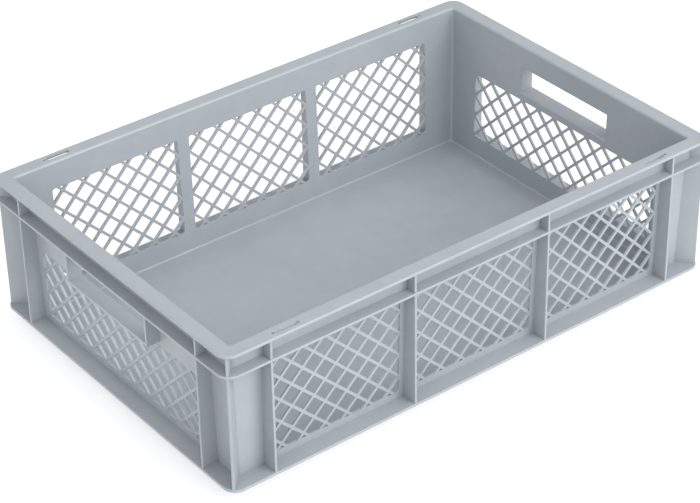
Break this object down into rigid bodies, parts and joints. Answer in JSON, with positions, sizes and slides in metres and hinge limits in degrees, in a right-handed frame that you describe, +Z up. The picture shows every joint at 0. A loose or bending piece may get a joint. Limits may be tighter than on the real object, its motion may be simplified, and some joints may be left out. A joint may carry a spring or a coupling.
{
  "type": "stacking plastic crate",
  "caption": "Open-topped rectangular stacking crate with lattice sides, a smooth closed floor, hand holes in the ends and a stepped foot that nests in a rim.",
  "frame": {"origin": "centre of the underside, on the surface that the crate stands on", "axes": "+X along the length, +Y across the width, +Z up through the open mouth"},
  "size_m": [0.6, 0.4, 0.17],
  "materials": {
    "crate_plastic": "fine matt moulded polypropylene, cool light grey"
  },
  "bodies": {
    "root": {"band_back": "crate_plastic", "band_front": "crate_plastic", "band_left": "crate_plastic", "band_right": "crate_plastic", "base_flange_back": "crate_plastic", "base_flange_front": "crate_plastic", "base_flange_left": "crate_plastic", "base_flange_right": "crate_plastic", "corner_rib_back_left": "crate_plastic", "corner_rib_back_right": "crate_plastic", "corner_rib_front_left": "crate_plastic", "corner_rib_front_right": "crate_plastic", "corner_wall_back_left": "crate_plastic", "corner_wall_back_right": "crate_plastic", "corner_wall_front_left": "crate_plastic", "corner_wall_front_right": "crate_plastic", "floor_pan": "crate_plastic", "handle_frame_left": "crate_plastic", "handle_frame_right": "crate_plastic", "lattice_back_centre": "crate_plastic", "lattice_back_left": "crate_plastic", "lattice_back_right": "crate_plastic", "lattice_front_centre": "crate_plastic", "lattice_front_left": "crate_plastic", "lattice_front_right": "crate_plastic", "lattice_left": "crate_plastic", "lattice_right": "crate_plastic", "rib_back_1": "crate_plastic", "rib_back_2": "crate_plastic", "rib_back_3": "crate_plastic", "rib_back_4": "crate_plastic", "rib_front_1": "crate_plastic", "rib_front_2": "crate_plastic", "rib_front_3": "crate_plastic", "rib_front_4": "crate_plastic", "rib_left_1": "crate_plastic", "rib_left_2": "crate_plastic", "rib_right_1": "crate_plastic", "rib_right_2": "crate_plastic", "rim_back": "crate_plastic", "rim_front": "crate_plastic", "rim_left": "crate_plastic", "rim_right": "crate_plastic", "wall_back": "crate_plastic", "wall_front": "crate_plastic", "wall_left": "crate_plastic", "wall_right": "crate_plastic"}
  },
  "joints": []
}
